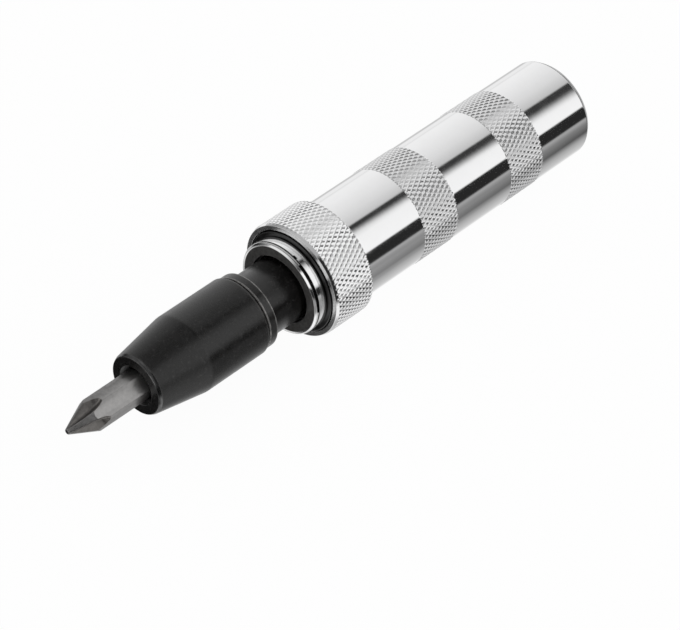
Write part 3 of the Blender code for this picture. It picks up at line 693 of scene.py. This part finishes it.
# Wire ring with its gap, a swept round wire
WIRE_R, WIRE_MEAN_R, WIRE_X = 0.36 * MM, 13.54 * MM, 110.975 * MM
WIRE_GAP_ANGLE, WIRE_GAP_HALF = math.radians(29), math.radians(31)
WIRE_STEPS, WIRE_SIDES = 160, 12
work = bmesh.new()
wire_rings = []
for k in range(WIRE_STEPS + 1):
    share = k / WIRE_STEPS
    angle = WIRE_GAP_ANGLE + WIRE_GAP_HALF + (math.tau - 2 * WIRE_GAP_HALF) * share
    turns = [math.tau * s / WIRE_SIDES for s in range(WIRE_SIDES)]
    wire_rings.append([
        work.verts.new(radial(angle, WIRE_MEAN_R + WIRE_R * math.sin(turn),
                              WIRE_X + WIRE_R * math.cos(turn)))
        for turn in turns
    ])
join_rings(work, wire_rings)
wire_mesh = mesh_of("wire_ring", work)
wire_mesh.materials.append(wire_steel)
smooth(wire_mesh)
finish_mesh("wire_ring", wire_mesh, "handle_body", ["nose_wire_ring"])

# Spindle with its flange, its square drive, the ball's hole and the pin's hole
SPINDLE_TAIL, NUB_END, NUB_R = 51.8, 53.1, 3.7
TAIL_END, TAIL_R, SHAFT_START, SHAFT_R = 55.4, 8.8, 56.1, 9.5
FLANGE_START, FLANGE_END, FLANGE_R = 123.56, 126.5, 11.2
FLANGE_GROOVE_R, FLANGE_ROOT_R, FLANGE_GROOVE_DEPTH = 9.8, 8.9, 0.6
DRIVE_ROLL = math.radians(56)
DRIVE_END, DRIVE_R, DRIVE_NOSE_LENGTH, DRIVE_NOSE_R = 141.5, 8.45, 3.4, 6.2
HALF_FLATS, FLAT_STEP, DRIVE_REACH = 6.35, 0.15, 7.4
BALL_X, BALL_R, BALL_HEIGHT, BALL_HOLE_FLOOR = 134.2, 2.75, 4.75, -4.5
RING_SEAT_R, RING_SEAT_FLOOR = 3.8, 5.7
PIN_X, PIN_HOLE_R, PIN_REACH = 72.0, 2.3, 10.5
PIN_ANGLE = math.pi / 2 + HALF_FACET
BODY, FLANGE = 0, 1

spindle_mesh = lathe("spindle_shaft", rounded([
    (SPINDLE_TAIL, 0, 0, BODY), (SPINDLE_TAIL, NUB_R, 0.1, BODY), (NUB_END, NUB_R, 0, BODY),
    (NUB_END, TAIL_R, 0.1, BODY), (TAIL_END, TAIL_R, 0, BODY), (SHAFT_START, SHAFT_R, 0.1, BODY),
    (FLANGE_START, SHAFT_R, 0, BODY), (FLANGE_START, FLANGE_R, 0.28, FLANGE),
    (FLANGE_END, FLANGE_R, 0.3, BODY), (FLANGE_END, FLANGE_GROOVE_R, 0.05, BODY),
    (FLANGE_END - FLANGE_GROOVE_DEPTH, FLANGE_GROOVE_R, 0, BODY),
    (FLANGE_END - FLANGE_GROOVE_DEPTH, FLANGE_ROOT_R, 0, BODY),
    (FLANGE_END, FLANGE_ROOT_R, 0.05, BODY), (FLANGE_END, DRIVE_R, 0, BODY),
    (DRIVE_END - DRIVE_NOSE_LENGTH, DRIVE_R, 0, BODY), (DRIVE_END, DRIVE_NOSE_R, 0.1, BODY),
    (DRIVE_END, 0, 0, BODY),
]), [black_spindle, black_flange])
flats = box_cutter([
    (DRIVE_ROLL + k * math.pi / 2, HALF_FLATS * MM, SHAFT_R * MM, HALF_FLATS * MM - CLEAR,
     (FLANGE_END + FLAT_STEP) * MM, DRIVE_END * MM + OVERRUN)
    for k in range(4)
])
ball_hole = rod_cutter([
    (DRIVE_ROLL, BALL_X * MM, BALL_R * MM + CLEAR, BALL_HOLE_FLOOR * MM, DRIVE_REACH * MM),
])
ring_seat = rod_cutter([
    (DRIVE_ROLL, BALL_X * MM, RING_SEAT_R * MM, RING_SEAT_FLOOR * MM, DRIVE_REACH * MM),
])
pin_hole = rod_cutter([
    (PIN_ANGLE, PIN_X * MM, PIN_HOLE_R * MM, -PIN_REACH * MM, PIN_REACH * MM),
])
spindle_mesh = carve(spindle_mesh, [
    ("DIFFERENCE", cutter) for cutter in (flats, ball_hole, ring_seat, pin_hole)
], FINE_BEVEL)
finish_mesh("spindle_shaft", spindle_mesh, "spindle_body", ["spindle"])

# Detent ball
outward = Matrix.Translation((BALL_X * MM, 0, 0))
outward @= Matrix.Rotation(DRIVE_ROLL - math.pi / 2, 4, "X")
work = bmesh.new()
bmesh.ops.create_uvsphere(work, u_segments=48, v_segments=32, radius=BALL_R * MM,
                          matrix=outward @ Matrix.Translation((0, 0, BALL_HEIGHT * MM)))
ball_mesh = mesh_of("ball", work)
ball_mesh.materials.append(ball_steel)
smooth(ball_mesh)
finish_mesh("ball", ball_mesh, "ball", ["detent_ball"])

# Bit holder with its square socket, the ball's channel and the hexagonal socket
HOLDER_START, HOLDER_TAPER, HOLDER_RIM, HOLDER_FACE = 126.8, 148.2, 164.09, 165.0
HOLDER_R, HOLDER_RIM_R, HOLDER_FACE_R, HOLDER_MOUTH_R = 11.7, 9.1, 8.65, 5.9
HOLDER_EDGE, HOLDER_CORE_R, MOUTH_END = 0.6, 3.0, 162.1
CLIP_START, CLIP_END, CLIP_ROOT_R = 157.4, 159.0, 6.118
SOCKET_FLATS, SOCKET_END = 13.3, 142.3
CHANNEL_HEIGHT, CHANNEL_END = 7.8, 137.2
HEX_ROLL = math.radians(42)
HEX_SOCKET_FLATS, HEX_SOCKET_START = 8.6, 152.6
RIM = 1

holder_mesh = lathe("holder", rounded([
    (HOLDER_START, HOLDER_CORE_R, 0, BODY), (HOLDER_START, HOLDER_R - HOLDER_EDGE, 0, BODY),
    (HOLDER_START + HOLDER_EDGE, HOLDER_R, 0.25, BODY), (HOLDER_TAPER, HOLDER_R, 0.5, BODY),
    (HOLDER_RIM, HOLDER_RIM_R, 0.15, RIM), (HOLDER_FACE, HOLDER_FACE_R, 0.15, BODY),
    (HOLDER_FACE, HOLDER_MOUTH_R, 0.1, BODY), (MOUTH_END, HOLDER_CORE_R, 0, BODY),
    (CLIP_END, HOLDER_CORE_R, 0, BODY), (CLIP_END, CLIP_ROOT_R, 0, BODY),
    (CLIP_START, CLIP_ROOT_R, 0, BODY), (CLIP_START, HOLDER_CORE_R, 0, BODY),
]), [black, black_rim])
holder_rear = HOLDER_START * MM - OVERRUN
socket = prism_cutter(4, SOCKET_FLATS * MM, DRIVE_ROLL, holder_rear, SOCKET_END * MM)
channel = box_cutter([
    (DRIVE_ROLL, 0, CHANNEL_HEIGHT * MM, BALL_R * MM, holder_rear, CHANNEL_END * MM),
])
hexagon = prism_cutter(6, HEX_SOCKET_FLATS * MM, HEX_ROLL, HEX_SOCKET_START * MM,
                       HOLDER_FACE * MM + OVERRUN)
holder_mesh = carve(holder_mesh, [("DIFFERENCE", cutter) for cutter in (socket, channel, hexagon)])
finish_mesh("holder", holder_mesh, "holder", ["bit_holder"])

# Bit: a hexagon with four flutes that leave a cross at the tip
BIT_START, BIT_TIP, CONE_START, BIT_FLATS = 152.9, 189.3, 180.43, 8.0
BIT_END_R, BIT_END_CHAMFER, BIT_TIP_R = 4.2, 0.6, 0.75
CORNER_R = 4.70           # just outside the hexagon's corners
WING_ROLL = HEX_ROLL
FLUTE_HALF_ANGLE = math.radians(50)
FLUTE_LENGTH, FLUTE_TOP, FLUTE_TIP_ROOT, FLUTE_END_ROOT = 12.1, 7.5, 0.82, 4.52
FLUTE_SHARES = ((-0.05, -0.02), (0.36, 0.14), (0.64, 0.29), (0.82, 0.46), (0.93, 0.68), (1, 1))
FLUTE_STEPS = 24
ROOT_STEPS = 4
ROOT_TIP_R, ROOT_WIDENING = 0.25, 0.65
BIT_COLUMNS = 144
BLASTED, RUBBED, FLUTE_SHADE = 0, 1, 2

bit_finishes = [blasted, rubbed, painted_flute_shade]
bit_mesh = lathe("driver_bit", rounded([
    (BIT_START, 0, 0, BLASTED), (BIT_START, BIT_END_R, 0.1, BLASTED),
    (BIT_START + BIT_END_CHAMFER, CORNER_R, 0.1, BLASTED), (CONE_START, CORNER_R, 0, BLASTED),
    (BIT_TIP, BIT_TIP_R, 0.25, BLASTED), (BIT_TIP, 0, 0, BLASTED),
]), bit_finishes, BIT_COLUMNS)
hex_body = prism_cutter(6, BIT_FLATS * MM, HEX_ROLL, BIT_START * MM - OVERRUN,
                        BIT_TIP * MM + OVERRUN)


def flute_section(angle, length_share, rise_share):
    """A V across the bit with a rounded root, low and narrow at the tip."""
    x = (BIT_TIP - FLUTE_LENGTH * length_share) * MM
    root = (FLUTE_TIP_ROOT + (FLUTE_END_ROOT - FLUTE_TIP_ROOT) * rise_share) * MM
    side = (FLUTE_TOP * MM - root) * math.tan(FLUTE_HALF_ANGLE)
    root_r = (ROOT_TIP_R + ROOT_WIDENING * max(length_share, 0.0)) * MM
    centre = root + root_r / math.sin(FLUTE_HALF_ANGLE)
    widest = math.pi / 2 - FLUTE_HALF_ANGLE
    arc = []
    for step in range(-ROOT_STEPS, ROOT_STEPS + 1):
        turn = widest * step / ROOT_STEPS
        arc.append(radial(angle, centre - root_r * math.cos(turn), x, root_r * math.sin(turn)))
    return arc + [
        radial(angle, FLUTE_TOP * MM, x, side), radial(angle, FLUTE_TOP * MM, x, -side),
    ]


lengths, rises = zip(*FLUTE_SHARES)
# The flutes' cut surfaces get the darker finish as painted shade.
steps = [("INTERSECT", hex_body)]
for k in range(4):
    flute_angle = WING_ROLL + math.pi / 4 + k * math.pi / 2
    sections = []
    for s in range(FLUTE_STEPS + 1):
        share = lengths[0] + (lengths[-1] - lengths[0]) * s / FLUTE_STEPS
        sections.append(flute_section(flute_angle, share, float(np.interp(share, lengths, rises))))
    steps.append(("DIFFERENCE", painted(loft_cutter([sections]), bit_finishes, FLUTE_SHADE)))
bit_mesh = carve(bit_mesh, steps, FINE_BEVEL, RUBBED)
finish_mesh("driver_bit", bit_mesh, "bit_body", ["bit"])

# Springs, which in the tool shorten between their fixed end and the piece that presses them; each
# is built as one fixed helix
SPRING_TURNS, SPRING_COIL_R, SPRING_WIRE_R = 7, 8.6 * MM, 1.3 * MM
SPRING_START, SPRING_END, STROKE = 21.6 * MM, 48.3 * MM, 8.0 * MM
spring_mesh = helix("return_spring", SPRING_TURNS, SPRING_COIL_R, SPRING_WIRE_R, SPRING_START,
                    SPRING_END, Matrix.Identity(4), wire_steel)
spring = finish_mesh("return_spring", spring_mesh, "handle_body", ["main_spring"])
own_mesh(spring)

BALL_SPRING_TURNS, BALL_SPRING_COIL_R, BALL_SPRING_WIRE_R = 4, 1.5 * MM, 0.3 * MM
BALL_SPRING_START, BALL_SPRING_END, BALL_TRAVEL = -4.2 * MM, 1.7 * MM, 1.15 * MM
ball_place = Matrix.Translation((BALL_X * MM, 0, 0)) @ Matrix.Rotation(DRIVE_ROLL, 4, "X")
ball_place @= Matrix.Rotation(math.pi / 2, 4, "Z")
ball_spring_mesh = helix("ball_spring", BALL_SPRING_TURNS, BALL_SPRING_COIL_R, BALL_SPRING_WIRE_R,
                         BALL_SPRING_START, BALL_SPRING_END, ball_place, wire_steel)
ball_spring = finish_mesh("ball_spring", ball_spring_mesh, "spindle_body",
                          ["detent_spring"])
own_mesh(ball_spring)

# Pieces that keep their CAD shape
KEPT_PIECES = (
    (rubber, ("collar_o_ring", "spindle_seal")),
    (bare, ("rear_washer", "spring_seat", "thrust_washer", "cam_sleeve", "selector_key_1",
            "selector_key_2", "detent_ring")),
    (ball_steel, ("cam_pin",)),
    (wire_steel, ("bit_clip",)),
)
for finish, node_names in KEPT_PIECES:
    for node_name in node_names:
        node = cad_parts[node_name]
        node.data.materials.clear()
        node.data.materials.append(finish)

# Floor: pale and matte, nearly all white to the camera
FLOOR_SIZE = 6.0
FLOOR_WHITE_SHARE = 0.96
work = bmesh.new()
bmesh.ops.create_grid(work, x_segments=1, y_segments=1, size=FLOOR_SIZE,
                      matrix=Matrix.Translation((0, 0, -COLLAR_R * MM)))
floor_mesh = bpy.data.meshes.new("floor")
work.to_mesh(floor_mesh)
work.free()
floor = bpy.data.objects.new("floor", floor_mesh)
bpy.context.scene.collection.objects.link(floor)
floor_finish, n = start_material("floor")
lit = n.add("ShaderNodeBsdfDiffuse", {"Color": grey(0.96)})
white = n.add("ShaderNodeEmission", {"Color": grey(1.0), "Strength": 1.0})
seen_by_camera = n.add("ShaderNodeLightPath").outputs["Is Camera Ray"]
blend = n.add("ShaderNodeMixShader", {
    0: n.math("MULTIPLY", seen_by_camera, FLOOR_WHITE_SHARE),
    1: lit.outputs[0], 2: white.outputs[0],
})
n.add("ShaderNodeOutputMaterial", {0: blend.outputs[0]})
floor_mesh.materials.append(floor_finish)
floor.visible_glossy = False

# Studio: lean is a direction's share along the tool, swing its angle round the tool in degrees
world = bpy.data.worlds.new("studio")
bpy.context.scene.world = world
world.use_nodes = True
world.cycles.sampling_method = "NONE"
n = Nodes(world.node_tree)
direction = n.add("ShaderNodeTexCoord").outputs["Generated"]
parts = n.add("ShaderNodeSeparateXYZ", {0: direction})
lean, side, up = parts.outputs[0], parts.outputs[1], parts.outputs[2]
swing = n.math("MULTIPLY", n.math("ARCTAN2", up, side), 180 / math.pi)

# A soft white surround round the tool's axis, with grey panels toward the table
SURROUND = (
    (-180, 0.90), (-166, 0.92), (-158, 0.60), (-148, 0.60), (-142, 0.92), (-122, 0.93),
    (-110, 0.80), (-98, 0.64), (-82, 0.54), (-68, 0.42), (-59, 0.26), (-51, 0.09), (-42, 0.14),
    (-30, 0.22), (-18, 0.42), (14, 1.0), (48, 0.97), (74, 0.56), (84, 0.64), (100, 0.76),
    (120, 0.84), (150, 0.92), (172, 0.95), (180, 0.80),
)
# Ahead of the tool the white table lies low and the studio's dark side high
FRONT = (
    (-180, 0.03), (-122, 0.03), (-106, 0.60), (-80, 1.0), (-36, 0.95), (-24, 0.025),
    (54, 0.025), (62, 0.42), (110, 0.50), (150, 0.42), (170, 0.12), (180, 0.03),
)
# Straight ahead the panels show again, and the dark gap between the table and the wall
AHEAD = (
    (-180, 0.85), (-166, 0.75), (-154, 0.30), (-146, 0.03), (-121, 0.03), (-112, 0.38),
    (-98, 0.8), (-78, 0.85), (-60, 0.5), (-48, 0.25), (-24, 0.32), (-15, 0.03), (4, 0.03),
    (11, 1.0), (52, 1.0), (60, 0.03), (74, 0.15), (90, 0.45), (110, 0.75), (140, 0.85),
    (180, 0.85),
)


def level_ramp(levels):
    """Levels of light by swing, as a colour ramp."""
    ramp = n.add("ShaderNodeValToRGB", {0: n.math("MULTIPLY_ADD", swing, 1 / 360, 0.5)})
    stops = ramp.color_ramp.elements
    while len(stops) < len(levels):
        stops.new(0.5)
    for stop, (degrees, level) in zip(stops, levels):
        stop.position = (degrees + 180) / 360
        stop.color = grey(level)
    return ramp.outputs[0]


def fade(value, start, end, low=0.0, high=1.0):
    """A soft change from low to high between two places."""
    return n.scaled(value, start, end, low, high, "SMOOTHSTEP")


def window(value, rise, fall, top=1.0):
    """A soft rise to the top level over one stretch and a soft fall over another."""
    return n.math("MULTIPLY", fade(value, *rise, 0.0, top), fade(value, *fall, 1.0, 0.0))


def product(*factors):
    """All factors multiplied."""
    result = factors[0]
    for factor in factors[1:]:
        result = n.math("MULTIPLY", result, factor)
    return result


# A crisp dark strip at the horizon, narrower toward the front and lower at the rear
STRIP_NARROWS, STRIP_LOWERS = (-0.560, -0.548), (-0.75, -0.66)
STRIP_LOW_LOSS, STRIP_HIGH_LOSS, STRIP_DROP = 3.5, 5.0, 10
STRIP_LOW_EDGE, STRIP_HIGH_EDGE, STRIP_FADE = (-19.5, -13.5), (8.5, 12.5), (-0.42, -0.20)
narrowed = n.scaled(lean, *STRIP_NARROWS, 0, 1)
lowered = n.math("ADD", swing, n.scaled(lean, *STRIP_LOWERS, STRIP_DROP, 0))
strip_low = n.math("SUBTRACT", lowered, n.math("MULTIPLY", narrowed, STRIP_LOW_LOSS))
strip_high = n.math("MULTIPLY_ADD", narrowed, STRIP_HIGH_LOSS, lowered)
strip = product(fade(strip_low, *STRIP_LOW_EDGE), fade(strip_high, *STRIP_HIGH_EDGE, 1, 0),
                fade(lean, *STRIP_FADE, 1, 0.2))

# A dark wedge above the strip, soft at its low edge and crisp at its high one. Its edges and
# its softness each follow the reach with a slope and a base.
WEDGE_REACH, WEDGE_LEAST, WEDGE_MOST = (-0.627, -0.561), -0.4, 1.15
WEDGE_LOW, WEDGE_HIGH, WEDGE_SOFTNESS = (17.5, 47.0), (5.3, 72.8), (-5.3, 13.0)
WEDGE_CRISP = (-2.5, 2.5)
WEDGE_REAR, WEDGE_FRONT = (-0.76, -0.66), (-0.44, -0.34)
reach = n.scaled(lean, *WEDGE_REACH, 0, 1)
reach.node.clamp = False
reach = n.math("MINIMUM", n.math("MAXIMUM", reach, WEDGE_LEAST), WEDGE_MOST)
wedge_low, wedge_high, softness = [
    n.math("MULTIPLY_ADD", reach, *line) for line in (WEDGE_LOW, WEDGE_HIGH, WEDGE_SOFTNESS)
]
inside = n.math("DIVIDE", n.math("SUBTRACT", swing, wedge_low), softness)
wedge = product(fade(inside, -1, 1),
                fade(n.math("SUBTRACT", swing, wedge_high), *WEDGE_CRISP, 1, 0),
                fade(lean, *WEDGE_REAR, 0.2, 1), fade(lean, *WEDGE_FRONT, 1, 0))

# A dark panel over the front half of the wedge, with an opening in it
PANEL_SWING, PANEL_LEAN = ((54, 66), (100, 130)), ((-0.547, -0.534), (-0.20, -0.17))
PANEL_OPENING_LEAN, PANEL_SHARE = ((-0.506, -0.495), (-0.45, -0.40)), 0.92
panel = product(window(swing, *PANEL_SWING), window(lean, *PANEL_LEAN, PANEL_SHARE),
                n.math("SUBTRACT", 1.0, window(lean, *PANEL_OPENING_LEAN)))

# A dark patch for the knurl's forward walls
WALLS_SWING, WALLS_LEAN = ((98, 110), (136, 150)), ((-0.190, -0.165), (-0.12, -0.08))
WALLS_SHARE = 0.85
walls = product(window(lean, *WALLS_LEAN, WALLS_SHARE), window(swing, *WALLS_SWING))

# Dimmer light past the top, toward the front
DIMMED_SWING, DIMMED_LEAN, DIMMED_SHARE = (95, 125), (-0.46, -0.05), 0.72
dimmed = product(fade(lean, *DIMMED_LEAN, 0, DIMMED_SHARE), fade(swing, *DIMMED_SWING))

# White patches: low toward the front, above at the rear, and a faint one low down
LOW_SWING, LOW_LEAN, LOW_SHARE = ((-75, -52), (36, 56)), (-0.40, -0.28), 0.9
REAR_SWING, REAR_LEAN, REAR_SHARE = (10, 40), (-0.74, -0.64), 0.75
FAINT_SWING, FAINT_LEAN, FAINT_SHARE = ((-66, -52), (-36, -22)), (-0.625, -0.54), 0.2
low_white = product(fade(lean, *LOW_LEAN, 0, LOW_SHARE), window(swing, *LOW_SWING))
rear_white = product(fade(lean, *REAR_LEAN, REAR_SHARE, 0), fade(swing, *REAR_SWING))
faint_white = product(n.scaled(lean, *FAINT_LEAN, 0, FAINT_SHARE), window(swing, *FAINT_SWING))

# What lies over what, from the surround up: a share and the light that it brings
BEHIND_LEAN, FRONT_LEAN = (-0.955, -0.92), (-0.14, 0.06)
AHEAD_LEAN, END_LEAN = (0.38, 0.48), (0.88, 0.96)
layout = level_ramp(SURROUND)
for share, light in (
    (faint_white, grey(1.0)),
    (low_white, grey(1.0)),
    (rear_white, grey(1.0)),
    (strip, grey(0.022)),
    (wedge, grey(0.042)),
    (panel, grey(0.03)),
    (walls, grey(0.04)),
    (fade(lean, *BEHIND_LEAN, 1, 0), grey(0.55)),
    (dimmed, grey(0.02)),
    (fade(lean, *FRONT_LEAN), level_ramp(FRONT)),
    (fade(lean, *AHEAD_LEAN), level_ramp(AHEAD)),
    (fade(lean, *END_LEAN), grey(0.9)),
):
    layout = n.mixed(share, layout, light)

# Matte surfaces see plain light that comes a little more from the table's side
KEY_DIRECTION = (-0.15, 0.78, -0.60)
key = n.add("ShaderNodeVectorMath", {0: direction, 1: KEY_DIRECTION},
            operation="DOT_PRODUCT").outputs["Value"]
plain = n.mixed(n.scaled(key, -1, 1, 0, 1), grey(0.5), grey(1.5))
rays = n.add("ShaderNodeLightPath")
mirrored = n.math("MAXIMUM", rays.outputs["Is Glossy Ray"], rays.outputs["Is Transmission Ray"])
layout = n.mixed(mirrored, plain, layout)
layout = n.mixed(rays.outputs["Is Camera Ray"], layout, grey(1.0))
backdrop = n.add("ShaderNodeBackground", {0: layout, 1: 1.0})
n.add("ShaderNodeOutputWorld", {0: backdrop.outputs[0]})

# Camera, level, at the photograph's angle
CAMERA_PLACE = (0.578359, 0.465570, 0.561563)
CAMERA_ROUND, CAMERA_RISE = math.radians(43.5162), math.radians(40.8955)
camera_data = bpy.data.cameras.new("camera")
camera_data.sensor_width = 36.0
camera_data.lens = 170.71
camera_data.clip_start = 0.05
camera_data.clip_end = 50.0
camera = bpy.data.objects.new("camera", camera_data)
bpy.context.scene.collection.objects.link(camera)
turn = Matrix.Rotation(CAMERA_ROUND + math.pi / 2, 4, "Z")
turn @= Matrix.Rotation(math.pi / 2 - CAMERA_RISE, 4, "X")
camera.matrix_world = Matrix.Translation(CAMERA_PLACE) @ turn
bpy.context.scene.camera = camera
bpy.context.scene.view_settings.view_transform = "Standard"
